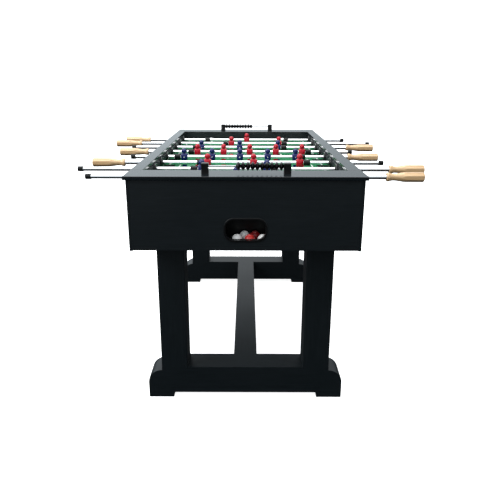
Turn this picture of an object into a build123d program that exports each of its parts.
"""Foosball table: a cabinet with eight player rods, standing on two trestles.

Millimetres. The origin is on the floor under the middle of the table. +X runs across the table, along the
rods, +Y along the table and +Z up. Rods are numbered from the -Y end. Odd-looking offsets along X are where
each rod has been left standing between its two stops.
"""
import os
from math import cos, hypot, pi, radians, sqrt

from build123d import *

# Overall sizes
TABLE_LENGTH = 1420.0
TABLE_WIDTH = 764.0
TABLE_HEIGHT = 860.0
CABINET_DEPTH = 244.0  # from the top of the rails to the lower edge of the end panels

# Cabinet
RAIL_THICK = 12.0
SIDE_RAIL_WIDTH = 42.0
END_RAIL_WIDTH = 115.0
RAIL_OVERHANG = 8.0
RAIL_EDGE_RADIUS = 1.5
SIDE_EDGE = 10.0  # what a side panel shows beside the end panel
SIDE_DROP = 2.0  # a side panel reaches this far below the end panel
END_PANEL_THICK = 15.0
PANEL_EDGE_RADIUS = 1.0
GOAL_WALL_THICK = 12.0
GOAL_WIDTH = 200.0
GOAL_HEIGHT = 75.0
GOAL_CORNER = 12.0
PLAYFIELD_THICK = 12.0
BATTEN = 20.0
CROSS_BATTENS = 3
BOTTOM_THICK = 12.0

# Ball return
RETURN_WIDTH = 128.0
RETURN_HEIGHT = 69.0
RETURN_CORNER = 27.0
RETURN_SILL = 35.0  # lower edge of the opening above the lower edge of the end panel
BEZEL_LIP = 6.0
BEZEL_THICK = 2.5
BEZEL_ROUNDING = 0.6  # of its thickness
BEZEL_WALL = 2.8
BEZEL_INSIDE = 2.0  # how far its sleeve runs past the panel
TRAY_WIDTH = 220.0
TRAY_WALL = 3.0
TRAY_RISE = 7.5  # underside of the tray above the end panel's lower edge
TRAY_DROP = 10.0  # rim of the tray below the surface of the field
BALL_DIAMETER = 34.5
BALL_GAP = 0.6
FIRST_BALL_X = -28.0
FLOOR_GAP = 0.05

# Trestles
TRESTLE_INSET = 112.0  # from the end of the table to the outer face of a foot
LEG_SIZE = 95.0
LEG_INSET = 33.0  # outer face of a leg inside the side panel
LEG_EDGE_RADIUS = 2.0
FOOT_REACH = 51.0  # how far a foot runs past the legs at each end
FOOT_HEIGHT = 126.0
FOOT_END_HEIGHT = 113.0
FOOT_END_RADIUS = 50.0
FOOT_PAD_LENGTH = 92.0
FOOT_PAD_HEIGHT = 20.0
FOOT_PAD_SLOPE = 6.0
STRETCHER_WIDTH = 88.0
STRETCHER_HEIGHT = 60.0
TENON_LENGTH = 30.0
TENON_WIDTH = 50.0
TENON_HEIGHT = 36.0
BOLT_DIAMETER = 8.0
BOLT_HEAD_DIAMETER = 14.0
BOLT_HEAD_HEIGHT = 6.0
BOLT_SPACING = 50.0
BOLT_BITE = 40.0  # how far a bolt runs into the piece it holds
BOLT_CLEARANCE = 0.3
COUNTERBORE_TOP = 60.0  # where a foot bolt's head stops, above the floor

# Rods and bearings
ROD_DIAMETER = 15.9
ROD_BORE = 12.0
ROD_DROP = 37.4  # rod axis below the top of the rails
FIRST_ROD_GAP = 78.0  # rod axis to the nearest goal wall
SLIDE_CLEARANCE = 0.1  # radial, rod in sleeve
SPIN_CLEARANCE = 0.1  # radial, sleeve in housing
SLEEVE_WALL = 2.8
SLEEVE_COLLAR = 2.2  # how far a sleeve's end collar stands out
SLEEVE_COLLAR_LENGTH = 3.0
HOUSING_WALL = 5.8
HOUSING_FLANGE_RIM = 5.5  # how far the flange stands out round the housing
HOUSING_FLANGE_THICK = 5.0
HOUSING_PROUD = 8.0  # how far the housing stands outside the side panel
NUT_THICK = 6.5
NUT_FLATS = 12
FIT_GAP = 0.3

# Men
MAN_HUB_WIDTH = 31.0
MAN_HUB_DEPTH = 25.0
MAN_HEAD_RADIUS = 12.0
MAN_HEAD_RISE = 25.0
MAN_NECK_RADIUS = 7.0
MAN_LEG_REACH = 72.0  # rod axis to the sole
MAN_SOLE_WIDTH = 22.0
MAN_SOLE_DEPTH = 18.0
SOLE_CLEARANCE = 6.0  # sole to playfield when a man swings through

# Handles, caps and bumpers
HANDLE_LENGTH = 130.0
HANDLE_FLATS = 32.5
HANDLE_COLLAR_RADIUS = 15.5
HANDLE_NECK_WALL = 4.3
HANDLE_SOCKET = 100.0
HANDLE_SCREW_DIAMETER = 5.0
HANDLE_SCREW_PLACE = 60.0
CAP_LENGTH = 20.0
CAP_WALL = 1.8
CAP_SOCKET = 15.0
BUMPER_LENGTH = 26.5
BUMPER_WALL = 4.0
BUMPER_EDGE = 2.5
COLLAR_LENGTH = 12.0
COLLAR_WALL = 4.0
PUSH_FIT = 0.05  # radial, pieces pushed onto a rod
HANDLE_END_GAP = 25.5  # left between a handle and the bearing at the end of the travel
CAP_END_GAP = 11.0  # the same for a cap

# Scorers
SCORER_BEADS = 10
SCORER_SPACING = 262.5
SCORER_OFFSET = 2.0  # the scorers sit this far to the +X side of the middle
POST_SIZE = 23.5
POST_HEIGHT = 34.0
POST_EDGE_RADIUS = 3.0
POST_SOCKET = 14.0
SCORER_ROD_DIAMETER = 5.0
SCORER_AXIS_RISE = 23.2
BEAD_LENGTH = 15.2
BEAD_RADIUS = 14.2
BEAD_RIM_WIDTH = 1.4
BEAD_END_RADIUS = 5.0
BEAD_CLEARANCE = 0.3

# Each rod: men on it, travel each way from the middle, the side its handle is on, where it stands now, and
# the turn of its handle's screw from straight up
RODS = [
    (1, 107.5, +1, -31.0, 200.0),
    (2, 168.0, +1, -43.0, 160.0),
    (3, 104.5, -1, +31.0, 190.0),
    (5, 51.0, +1, -26.0, 40.0),
    (5, 51.0, -1, +17.0, 170.0),
    (3, 104.5, +1, -31.0, 150.0),
    (2, 168.0, -1, +46.0, 45.0),
    (1, 107.5, -1, +3.0, 140.0),
]

# Places that follow from the sizes above
HALF_LENGTH = TABLE_LENGTH / 2
HALF_WIDTH = TABLE_WIDTH / 2
WALL_X = HALF_WIDTH - SIDE_RAIL_WIDTH  # inner face of a side panel
SIDE_X = HALF_WIDTH - RAIL_OVERHANG  # outer face of a side panel
GOAL_Y = HALF_LENGTH - END_RAIL_WIDTH  # face of a goal wall towards the field
GOAL_BACK_Y = GOAL_Y + GOAL_WALL_THICK
END_Y = HALF_LENGTH - RAIL_OVERHANG  # outer face of an end panel
END_INNER_Y = END_Y - END_PANEL_THICK
PANEL_TOP = TABLE_HEIGHT - RAIL_THICK
CABINET_BOTTOM = TABLE_HEIGHT - CABINET_DEPTH
ROD_Z = TABLE_HEIGHT - ROD_DROP
ROD_PITCH = 2 * (GOAL_Y - FIRST_ROD_GAP) / (len(RODS) - 1)
MAN_SWING = hypot(MAN_LEG_REACH, MAN_SOLE_DEPTH / 2)
FIELD_Z = ROD_Z - MAN_SWING - SOLE_CLEARANCE
RETURN_Z = CABINET_BOTTOM + RETURN_SILL + RETURN_HEIGHT / 2
TRAY_BOTTOM = CABINET_BOTTOM + TRAY_RISE
TRAY_TOP = FIELD_Z - TRAY_DROP
LEG_OUTER_X = WALL_X - LEG_INSET
LEG_X = LEG_OUTER_X - LEG_SIZE / 2
FOOT_HALF = LEG_OUTER_X + FOOT_REACH
FOOT_OUTER_Y = HALF_LENGTH - TRESTLE_INSET
LEG_Y = FOOT_OUTER_Y - LEG_SIZE / 2
FOOT_INNER_Y = FOOT_OUTER_Y - LEG_SIZE

HANDLE_NECK_RADIUS = ROD_DIAMETER / 2 + HANDLE_NECK_WALL
SLEEVE_BORE_RADIUS = ROD_DIAMETER / 2 + SLIDE_CLEARANCE
SLEEVE_RADIUS = SLEEVE_BORE_RADIUS + SLEEVE_WALL
HOUSING_BORE_RADIUS = SLEEVE_RADIUS + SPIN_CLEARANCE
HOUSING_RADIUS = HOUSING_BORE_RADIUS + HOUSING_WALL
FLANGE_RADIUS = HOUSING_RADIUS + HOUSING_FLANGE_RIM
HOUSING_IN_X = WALL_X - HOUSING_FLANGE_THICK
HOUSING_OUT_X = SIDE_X + HOUSING_PROUD
SLEEVE_IN_X = HOUSING_IN_X - FIT_GAP - SLEEVE_COLLAR_LENGTH
SLEEVE_OUT_X = HOUSING_OUT_X + FIT_GAP + SLEEVE_COLLAR_LENGTH

SCORER_Y = HALF_LENGTH - END_RAIL_WIDTH / 2
SCORER_Z = TABLE_HEIGHT + SCORER_AXIS_RISE
SCORER_GAP = SCORER_SPACING - POST_SIZE  # free length between two posts
BALL_RADIUS = BALL_DIAMETER / 2


def block(x0, x1, y0, y1, z0, z1, radius=0.0):
    """A box between two corners, its edges rounded if radius is given."""
    centre = Pos((x0 + x1) / 2, (y0 + y1) / 2, (z0 + z1) / 2)
    box = Box(abs(x1 - x0), abs(y1 - y0), abs(z1 - z0))
    if radius:
        box = fillet(box.edges(), radius)
    return centre * box


def along_x(radius, x0, x1, y=0.0, z=0.0):
    """A cylinder from x0 to x1."""
    return Pos((x0 + x1) / 2, y, z) * Rot(0, 90, 0) * Cylinder(radius, abs(x1 - x0))


def along_z(radius, z0, z1, x=0.0, y=0.0):
    """A cylinder from z0 to z1."""
    return Pos(x, y, (z0 + z1) / 2) * Cylinder(radius, abs(z1 - z0))


def ring_x(outer, inner, x0, x1, y=0.0, z=0.0):
    """A tube from x0 to x1."""
    return along_x(outer, x0, x1, y, z) - along_x(inner, x0, x1, y, z)


def turned_x(points):
    """A solid of revolution about X from (distance along, radius) points, closed down to the axis."""
    first, last = points[0], points[-1]
    outline = [(first[0], 0.0), *points, (last[0], 0.0)]
    face = make_face(Polyline(*outline, close=True))
    return revolve(face, Axis.X)


def return_slot(y0, y1, grow=0.0):
    """The ball return's rounded opening, grown outwards by grow, run from y0 to y1."""
    width, height = RETURN_WIDTH + 2 * grow, RETURN_HEIGHT + 2 * grow
    return rounded_slot(width, height, RETURN_CORNER + grow, y0, y1, RETURN_Z)


def rounded_slot(width, height, corner, y0, y1, z):
    """A rounded rectangle in the XZ plane, run from y0 to y1."""
    plane = Plane(origin=(0, max(y0, y1), z), x_dir=(1, 0, 0), z_dir=(0, -1, 0))
    return extrude(plane * RectangleRounded(width, height, corner), abs(y1 - y0))


def both_ends(shape):
    """A piece and its twin at the other end of the table."""
    return [shape, shape.mirror(Plane.XZ)]


def both_sides(shape):
    """A piece and its twin on the other side of the table."""
    return [shape, shape.mirror(Plane.YZ)]


def rod_y(index):
    """Y of a rod's axis; index runs from 0."""
    return (index - (len(RODS) - 1) / 2) * ROD_PITCH


# ---------------------------------------------------------------- cabinet


def top_rails():
    side = block(WALL_X, HALF_WIDTH, -GOAL_Y, GOAL_Y, PANEL_TOP, TABLE_HEIGHT, RAIL_EDGE_RADIUS)
    end = block(-HALF_WIDTH, HALF_WIDTH, GOAL_Y, HALF_LENGTH, PANEL_TOP, TABLE_HEIGHT, RAIL_EDGE_RADIUS)
    return both_sides(side) + both_ends(end)


def side_panels():
    panel = block(WALL_X, SIDE_X, -END_Y, END_Y, CABINET_BOTTOM - SIDE_DROP, PANEL_TOP, PANEL_EDGE_RADIUS)
    for end in (-1, 1):
        low, high = CABINET_BOTTOM - SIDE_DROP - 1, PANEL_TOP + 1
        panel -= block(WALL_X - 1, SIDE_X - SIDE_EDGE, end * END_INNER_Y, end * (END_Y + 1), low, high)
    for index in range(len(RODS)):
        panel -= along_x(HOUSING_RADIUS + PUSH_FIT, WALL_X - 1, SIDE_X + 1, rod_y(index), ROD_Z)
    return both_sides(panel)


def end_panels():
    half = SIDE_X - SIDE_EDGE
    panel = block(-half, half, END_INNER_Y, END_Y, CABINET_BOTTOM, PANEL_TOP, PANEL_EDGE_RADIUS)
    return both_ends(panel - return_slot(END_INNER_Y - 1, END_Y + 1, BEZEL_WALL + PUSH_FIT))


def goal_walls():
    wall = block(-WALL_X, WALL_X, GOAL_Y, GOAL_BACK_Y, CABINET_BOTTOM + BOTTOM_THICK, PANEL_TOP)
    # The mouth runs down past the field's surface, so only its upper corners are round.
    mouth = rounded_slot(
        GOAL_WIDTH, GOAL_HEIGHT + GOAL_CORNER, GOAL_CORNER, GOAL_Y - 1, GOAL_BACK_Y + 1,
        FIELD_Z + (GOAL_HEIGHT - GOAL_CORNER) / 2,
    )
    above_field = block(-GOAL_WIDTH, GOAL_WIDTH, GOAL_Y - 2, GOAL_BACK_Y + 2, FIELD_Z, PANEL_TOP)
    return both_ends(wall - (mouth & above_field))


def playfield():
    return [block(-WALL_X, WALL_X, -GOAL_Y, GOAL_Y, FIELD_Z - PLAYFIELD_THICK, FIELD_Z)]


def playfield_battens():
    top = FIELD_Z - PLAYFIELD_THICK
    side = block(WALL_X - BATTEN, WALL_X, -GOAL_Y, GOAL_Y, top - BATTEN, top)
    battens = both_sides(side)
    for n in range(CROSS_BATTENS):
        y = 2 * GOAL_Y * ((n + 1) / (CROSS_BATTENS + 1) - 0.5)
        reach = WALL_X - BATTEN
        battens.append(block(-reach, reach, y - BATTEN / 2, y + BATTEN / 2, top - BATTEN, top))
    return battens


def bottom_panel():
    top = CABINET_BOTTOM + BOTTOM_THICK
    panel = block(-WALL_X, WALL_X, -END_INNER_Y, END_INNER_Y, CABINET_BOTTOM, top)
    half = TRAY_WIDTH / 2 + FIT_GAP
    for end in (-1, 1):
        panel -= block(-half, half, end * GOAL_BACK_Y, end * (END_INNER_Y + 1), CABINET_BOTTOM - 1, top + 1)
    for x, y in leg_bolt_places():
        panel -= along_z(BOLT_DIAMETER / 2 + BOLT_CLEARANCE, CABINET_BOTTOM - 1, top + 1, x, y)
    return [panel]


# ---------------------------------------------------------------- ball return


def return_trays():
    half = TRAY_WIDTH / 2
    back = GOAL_BACK_Y + FIT_GAP
    outer = block(-half, half, back, END_INNER_Y, TRAY_BOTTOM, TRAY_TOP)
    inner = block(
        -half + TRAY_WALL, half - TRAY_WALL, back + TRAY_WALL, END_INNER_Y + 1,
        TRAY_BOTTOM + TRAY_WALL, TRAY_TOP + 1,
    )
    return both_ends(outer - inner)


def return_bezels():
    inside, outside = END_INNER_Y - BEZEL_INSIDE, END_Y + BEZEL_THICK
    flange = return_slot(END_Y, outside, BEZEL_LIP)
    flange = fillet(flange.edges().group_by(Axis.Y)[-1], BEZEL_THICK * BEZEL_ROUNDING)
    sleeve = return_slot(inside, END_Y, BEZEL_WALL)
    mouth = return_slot(inside - 1, outside + 1)
    return both_ends(flange + sleeve - mouth)


def balls():
    """Five balls in two staggered rows in the tray at the -Y end."""
    front = -END_INNER_Y + BEZEL_INSIDE + BALL_RADIUS + BALL_GAP
    back = -(GOAL_BACK_Y + FIT_GAP + TRAY_WALL) - BALL_RADIUS - BALL_GAP
    touch = BALL_DIAMETER + BALL_GAP
    depth = min(abs(back - front), touch)
    step = sqrt(touch**2 - depth**2) if depth < touch else 0.0
    step = max(step, touch / 2)
    z = TRAY_BOTTOM + TRAY_WALL + BALL_RADIUS + FLOOR_GAP
    rows = [(0, front), (1.4, back), (2.4, front), (3.4, back), (4.8, front)]
    return [Pos(FIRST_BALL_X + n * step, y, z) * Sphere(BALL_RADIUS) for n, y in rows]


# ---------------------------------------------------------------- trestles


def leg_bolt_places():
    """(x, y) of the two bolts at each leg."""
    places = []
    for side in (-1, 1):
        for end in (-1, 1):
            for way in (-1, 1):
                places.append((side * LEG_X + way * BOLT_SPACING / 2, end * LEG_Y))
    return places


def legs():
    half = LEG_SIZE / 2
    post = block(LEG_X - half, LEG_X + half, LEG_Y - half, LEG_Y + half, FOOT_HEIGHT, CABINET_BOTTOM)
    post = fillet(post.edges().filter_by(Axis.Z), LEG_EDGE_RADIUS)
    top, bottom = CABINET_BOTTOM, FOOT_HEIGHT
    for way in (-1, 1):
        x = LEG_X + way * BOLT_SPACING / 2
        post -= along_z(BOLT_DIAMETER / 2 + PUSH_FIT, top - BOLT_BITE - 1, top + 1, x, LEG_Y)
        post -= along_z(BOLT_DIAMETER / 2 + PUSH_FIT, bottom - 1, bottom + BOLT_BITE + 1, x, LEG_Y)
    return [twin for one in both_sides(post) for twin in both_ends(one)]


def foot_outline():
    """The half of a foot's outline on the +X side."""
    half = FOOT_HALF
    pad = half - FOOT_PAD_LENGTH
    plateau = LEG_OUTER_X
    arc_x = half - FOOT_END_RADIUS
    arc_z = FOOT_END_HEIGHT - FOOT_END_RADIUS
    corner = FOOT_END_RADIUS * (1 - cos(radians(45)))
    top = FOOT_END_HEIGHT
    lower = Polyline(
        (0, FOOT_PAD_HEIGHT),
        (pad - FOOT_PAD_SLOPE, FOOT_PAD_HEIGHT),
        (pad, FOOT_PAD_HEIGHT - FOOT_PAD_SLOPE),
        (pad, 0),
        (half, 0),
        (half, arc_z),
    )
    shoulder = ThreePointArc((half, arc_z), (half - corner, top - corner), (arc_x, top))
    upper = Polyline((arc_x, top), (plateau, top), (plateau, FOOT_HEIGHT), (0, FOOT_HEIGHT))
    middle = Line((0, FOOT_HEIGHT), (0, FOOT_PAD_HEIGHT))
    return make_face([*lower.edges(), *shoulder.edges(), *upper.edges(), *middle.edges()])


def tenon_block(grow=0.0):
    """The stretcher's tenon at the +Y end, or with grow the mortise that takes it."""
    z = FOOT_HEIGHT - STRETCHER_HEIGHT / 2
    w = TENON_WIDTH / 2 + grow
    h = TENON_HEIGHT / 2 + grow
    return block(-w, w, FOOT_INNER_Y - 1, FOOT_INNER_Y + TENON_LENGTH + grow, z - h, z + h)


def feet():
    plane = Plane(origin=(0, FOOT_OUTER_Y, 0), x_dir=(1, 0, 0), z_dir=(0, -1, 0))
    half = extrude(plane * foot_outline(), LEG_SIZE)
    foot = half + half.mirror(Plane.YZ)
    for side in (-1, 1):
        for way in (-1, 1):
            x = side * LEG_X + way * BOLT_SPACING / 2
            foot -= along_z(BOLT_DIAMETER / 2 + BOLT_CLEARANCE, -1, FOOT_HEIGHT + 1, x, LEG_Y)
            foot -= along_z(BOLT_HEAD_DIAMETER / 2 + BOLT_CLEARANCE, -1, COUNTERBORE_TOP, x, LEG_Y)
    foot -= tenon_block(PUSH_FIT)
    y = FOOT_INNER_Y + TENON_LENGTH / 2
    foot -= along_z(BOLT_DIAMETER / 2 + BOLT_CLEARANCE, -1, tenon_bolt_top() + 1, 0, y)
    foot -= along_z(BOLT_HEAD_DIAMETER / 2 + BOLT_CLEARANCE, -1, tenon_bolt_bottom(), 0, y)
    return both_ends(foot)


def tenon_bolt_bottom():
    return FOOT_PAD_HEIGHT + BOLT_HEAD_HEIGHT + 6.0


def tenon_bolt_top():
    return FOOT_HEIGHT - STRETCHER_HEIGHT / 2 + TENON_HEIGHT / 2 - 4.0


def stretcher():
    w = STRETCHER_WIDTH / 2
    beam = block(-w, w, -FOOT_INNER_Y, FOOT_INNER_Y, FOOT_HEIGHT - STRETCHER_HEIGHT, FOOT_HEIGHT)
    beam = fillet(beam.edges().filter_by(Axis.Y), LEG_EDGE_RADIUS)
    for tenon in both_ends(tenon_block()):
        beam += tenon
    for end in (-1, 1):
        y = end * (FOOT_INNER_Y + TENON_LENGTH / 2)
        beam -= along_z(BOLT_DIAMETER / 2 + PUSH_FIT, 0, tenon_bolt_top() + 1, 0, y)
    return [beam]


def bolt(x, y, head_z, tip_z):
    """A cap-head bolt along Z whose head's bearing face is at head_z."""
    outward = 1 if head_z > tip_z else -1
    head = along_z(BOLT_HEAD_DIAMETER / 2, head_z, head_z + outward * BOLT_HEAD_HEIGHT, x, y)
    socket = Pos(x, y, head_z + outward * BOLT_HEAD_HEIGHT) * extrude(RegularPolygon(3.4, 6), 3.5, both=True)
    return head + along_z(BOLT_DIAMETER / 2, head_z, tip_z, x, y) - socket


def trestle_bolts():
    bolts = []
    for x, y in leg_bolt_places():
        bolts.append(bolt(x, y, CABINET_BOTTOM + BOTTOM_THICK, CABINET_BOTTOM - BOLT_BITE))
        bolts.append(bolt(x, y, COUNTERBORE_TOP, FOOT_HEIGHT + BOLT_BITE))
    for end in (-1, 1):
        y = end * (FOOT_INNER_Y + TENON_LENGTH / 2)
        bolts.append(bolt(0, y, tenon_bolt_bottom(), tenon_bolt_top()))
    return bolts


# ---------------------------------------------------------------- bearings


def bearing_housings():
    pieces = []
    for index in range(len(RODS)):
        y = rod_y(index)
        body = along_x(HOUSING_RADIUS, WALL_X, HOUSING_OUT_X, y, ROD_Z)
        flange = along_x(FLANGE_RADIUS, HOUSING_IN_X, WALL_X, y, ROD_Z)
        flange = fillet(flange.edges().group_by(Axis.X)[0], HOUSING_FLANGE_THICK / 2)
        bore = along_x(HOUSING_BORE_RADIUS, HOUSING_IN_X - 1, HOUSING_OUT_X + 1, y, ROD_Z)
        pieces += both_sides(body + flange - bore)
    return pieces


def bearing_nuts():
    pieces = []
    for index in range(len(RODS)):
        outline = Rot(0, 90, 0) * RegularPolygon(FLANGE_RADIUS, NUT_FLATS)
        nut = Pos(SIDE_X, rod_y(index), ROD_Z) * extrude(outline, NUT_THICK)
        nut -= along_x(HOUSING_RADIUS + PUSH_FIT, SIDE_X - 1, SIDE_X + NUT_THICK + 1, rod_y(index), ROD_Z)
        pieces += both_sides(nut)
    return pieces


def sleeves(index):
    """The two sleeves that turn with a rod, held in their housings by an end collar each side."""
    y = rod_y(index)
    collar = SLEEVE_RADIUS + SLEEVE_COLLAR
    piece = along_x(SLEEVE_RADIUS, SLEEVE_IN_X, SLEEVE_OUT_X, y, ROD_Z)
    piece += along_x(collar, SLEEVE_IN_X, SLEEVE_IN_X + SLEEVE_COLLAR_LENGTH, y, ROD_Z)
    piece += along_x(collar, SLEEVE_OUT_X - SLEEVE_COLLAR_LENGTH, SLEEVE_OUT_X, y, ROD_Z)
    piece -= along_x(SLEEVE_BORE_RADIUS, SLEEVE_IN_X - 1, SLEEVE_OUT_X + 1, y, ROD_Z)
    return both_sides(piece)


# ---------------------------------------------------------------- rods


def handle_reach(travel):
    """From the table's middle to a handle's open end, with the rod in the middle of its travel."""
    return SLEEVE_OUT_X + travel + HANDLE_END_GAP


def cap_reach(travel):
    """The same for a cap."""
    return SLEEVE_OUT_X + travel + CAP_END_GAP


def outer_bumper_x(travel):
    """Outer end of a bumper with the rod in the middle of its travel."""
    return SLEEVE_IN_X - FIT_GAP - travel


def man_places(count, travel):
    """X of each man on a rod standing in the middle of its travel."""
    if count == 1:
        return [0.0]
    outermost = outer_bumper_x(travel) - BUMPER_LENGTH - MAN_HUB_WIDTH / 2
    return [outermost * (2 * n / (count - 1) - 1) for n in range(count)]


def mirrored_face(half, plane):
    """A face from (half-width, height) points on its right side, mirrored to the left."""
    right = [(w, z) for w, z in half]
    left = [(-w, z) for w, z in reversed(half)]
    return plane * make_face(Polyline(*right, *left, close=True))


def man():
    """One player about the origin of its rod axis, facing +Y: two outlines crossed, plus a head."""
    hub_w, hub_d = MAN_HUB_WIDTH / 2, MAN_HUB_DEPTH / 2
    sole_w, sole_d = MAN_SOLE_WIDTH / 2, MAN_SOLE_DEPTH / 2
    front = [
        (MAN_NECK_RADIUS, 17), (hub_w - 3, 14), (hub_w, 10), (hub_w, 1),
        (hub_w - 2.5, -9), (hub_w - 4.5, -17), (hub_w - 4, -24), (hub_w - 5, -33), (hub_w - 7, -48),
        (sole_w - 2, -53), (sole_w, -57), (sole_w, -MAN_LEG_REACH),
    ]
    side = [
        (MAN_NECK_RADIUS, 17), (hub_d - 3, 14), (hub_d, 8), (hub_d, -8), (hub_d - 3.5, -17),
        (hub_d - 3.5, -24), (hub_d - 5, -33), (hub_d - 7, -48),
        (sole_d - 1.5, -55), (sole_d, -60), (sole_d, -MAN_LEG_REACH),
    ]
    width, depth = MAN_HUB_WIDTH * 2, MAN_HUB_DEPTH * 2
    facing = Plane(origin=(0, depth / 2, 0), x_dir=(1, 0, 0), z_dir=(0, -1, 0))
    sideways = Plane(origin=(-width / 2, 0, 0), x_dir=(0, 1, 0), z_dir=(1, 0, 0))
    body = extrude(mirrored_face(front, facing), depth) & extrude(mirrored_face(side, sideways), width)
    body += along_z(MAN_NECK_RADIUS, 12, MAN_HEAD_RISE)
    body += Pos(0, 0, MAN_HEAD_RISE) * Sphere(MAN_HEAD_RADIUS)
    return body - along_x(ROD_DIAMETER / 2 + PUSH_FIT, -width, width)


def men(index):
    """All men of a rod. The rods whose handles are on +X play towards +Y."""
    count, travel, side, stand, _ = RODS[index]
    figure = man() if side > 0 else Rot(0, 0, 180) * man()
    return [Pos(x + stand, rod_y(index), ROD_Z) * figure for x in man_places(count, travel)]


def shaft(index):
    """A rod's tube, and on a goalkeeper's rod the two stop collars behind its bumpers."""
    count, travel, side, stand, _ = RODS[index]
    y = rod_y(index)
    cap_end = -side * (cap_reach(travel) + CAP_SOCKET) + stand
    handle_end = side * (handle_reach(travel) + HANDLE_SOCKET) + stand
    pieces = [ring_x(ROD_DIAMETER / 2, ROD_BORE / 2, cap_end, handle_end, y, ROD_Z)]
    if count == 1:
        for way in (-1, 1):
            x = way * (outer_bumper_x(travel) - BUMPER_LENGTH) + stand
            outer, inner = ROD_DIAMETER / 2 + COLLAR_WALL, ROD_DIAMETER / 2 + PUSH_FIT
            pieces.append(ring_x(outer, inner, x, x - way * COLLAR_LENGTH, y, ROD_Z))
    return pieces


def rubbers(index):
    """A rod's two bumpers and its end cap."""
    _, travel, side, stand, _ = RODS[index]
    y = rod_y(index)
    hole = ROD_DIAMETER / 2 + PUSH_FIT
    pieces = []
    for way in (-1, 1):
        x = way * outer_bumper_x(travel) + stand
        bumper = along_x(ROD_DIAMETER / 2 + BUMPER_WALL, x, x - way * BUMPER_LENGTH, y, ROD_Z)
        bumper = fillet(bumper.edges().filter_by(GeomType.CIRCLE), BUMPER_EDGE)
        pieces.append(bumper - along_x(hole, x + way, x - way * (BUMPER_LENGTH + 1), y, ROD_Z))
    open_end = -side * cap_reach(travel) + stand
    far_end = open_end - side * CAP_LENGTH
    cap = along_x(ROD_DIAMETER / 2 + CAP_WALL, open_end, far_end, y, ROD_Z)
    cap = fillet(cap.edges().filter_by(GeomType.CIRCLE), 1.5)
    cap -= along_x(hole, open_end + side, open_end - side * (CAP_SOCKET + FIT_GAP), y, ROD_Z)
    return [*pieces, cap]


def handle(index):
    """A turned wooden grip: a collar, a waist, and an eight-sided body."""
    _, travel, side, stand, turn = RODS[index]
    corner = HANDLE_FLATS / 2 / cos(pi / 8)
    neck, collar, end = HANDLE_NECK_RADIUS, HANDLE_COLLAR_RADIUS, HANDLE_LENGTH
    profile = [
        (0, collar - 2), (2, collar), (7, collar), (10, collar - 0.8),
        (16, neck + 0.7), (23, neck), (32, neck + 0.5), (44, neck + 2.2),
        (58, corner - 1), (68, corner + 0.3),
        (end - 5, corner + 0.3), (end - 1.5, corner - 2.5), (end, corner - 5),
    ]
    section = Rot(0, 90, 0) * RegularPolygon(HANDLE_FLATS / 2, 8, major_radius=False)
    grip = turned_x(profile) & extrude(section, end)
    grip -= along_x(ROD_DIAMETER / 2 + PUSH_FIT, -1, HANDLE_SOCKET + FIT_GAP)
    hole = along_z(HANDLE_SCREW_DIAMETER / 2, ROD_DIAMETER / 2, HANDLE_FLATS, HANDLE_SCREW_PLACE)
    grip -= Rot(turn, 0, 0) * hole
    place = Pos(side * handle_reach(travel) + stand, rod_y(index), ROD_Z)
    return [place * (grip if side > 0 else grip.mirror(Plane.YZ))]


# ---------------------------------------------------------------- scorers


def scorer_posts():
    x = SCORER_SPACING / 2  # from the middle of the scorer
    half = POST_SIZE / 2
    top = TABLE_HEIGHT + POST_HEIGHT
    post = block(x - half, x + half, SCORER_Y - half, SCORER_Y + half, TABLE_HEIGHT, top)
    post = fillet(post.edges().filter_by(Axis.Z) + post.edges().group_by(Axis.Z)[-1], POST_EDGE_RADIUS)
    inside = x - half
    radius = SCORER_ROD_DIAMETER / 2 + PUSH_FIT
    post -= along_x(radius, inside - 1, inside + POST_SOCKET + FIT_GAP, SCORER_Y, SCORER_Z)
    return [twin for one in both_sides(post) for twin in both_ends(Pos(SCORER_OFFSET, 0, 0) * one)]


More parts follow.
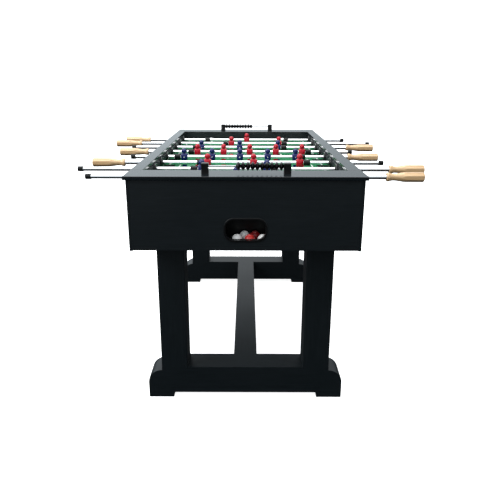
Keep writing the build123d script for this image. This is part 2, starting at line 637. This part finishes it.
def scorer_rods():
    reach = SCORER_GAP / 2 + POST_SOCKET
    left, right = SCORER_OFFSET - reach, SCORER_OFFSET + reach
    return both_ends(along_x(SCORER_ROD_DIAMETER / 2, left, right, SCORER_Y, SCORER_Z))


def scorer_beads(end, side):
    """Ten beads pushed together against the post on the given side."""
    rim = BEAD_RIM_WIDTH / 2
    half = BEAD_LENGTH / 2 - FLOOR_GAP
    profile = [(-half, BEAD_END_RADIUS), (-rim, BEAD_RADIUS), (rim, BEAD_RADIUS), (half, BEAD_END_RADIUS)]
    bead = turned_x(profile) - along_x(SCORER_ROD_DIAMETER / 2 + BEAD_CLEARANCE, -BEAD_LENGTH, BEAD_LENGTH)
    first = SCORER_GAP / 2 - FIT_GAP - BEAD_LENGTH / 2
    places = [SCORER_OFFSET + side * (first - n * BEAD_LENGTH) for n in range(SCORER_BEADS)]
    return [Pos(x, end * SCORER_Y, SCORER_Z) * bead for x in places]


# ---------------------------------------------------------------- all nodes


def nodes():
    """Each node's name and its separate solids."""
    found = {
        "top_rails": top_rails(),
        "side_panels": side_panels(),
        "end_panels": end_panels(),
        "goal_walls": goal_walls(),
        "playfield": playfield(),
        "playfield_battens": playfield_battens(),
        "bottom_panel": bottom_panel(),
        "return_trays": return_trays(),
        "return_bezels": return_bezels(),
        "balls": balls(),
        "legs": legs(),
        "feet": feet(),
        "stretcher": stretcher(),
        "trestle_bolts": trestle_bolts(),
        "bearing_housings": bearing_housings(),
        "bearing_nuts": bearing_nuts(),
        "scorer_posts": scorer_posts(),
        "scorer_rods": scorer_rods(),
        "scorer_beads_near": scorer_beads(-1, +1),
        "scorer_beads_far": scorer_beads(+1, -1),
    }
    for index in range(len(RODS)):
        name = f"rod_{index + 1}"
        found[f"{name}_shaft"] = shaft(index)
        found[f"{name}_men"] = men(index)
        found[f"{name}_handle"] = handle(index)
        found[f"{name}_rubbers"] = rubbers(index)
        found[f"{name}_sleeves"] = sleeves(index)
    return found


def main():
    os.makedirs("parts", exist_ok=True)
    for name, shapes in nodes().items():
        solids = [solid for shape in shapes for solid in shape.solids()]
        shape = solids[0] if len(solids) == 1 else Compound(children=solids)
        export_step(shape, f"parts/{name}.step")


main()
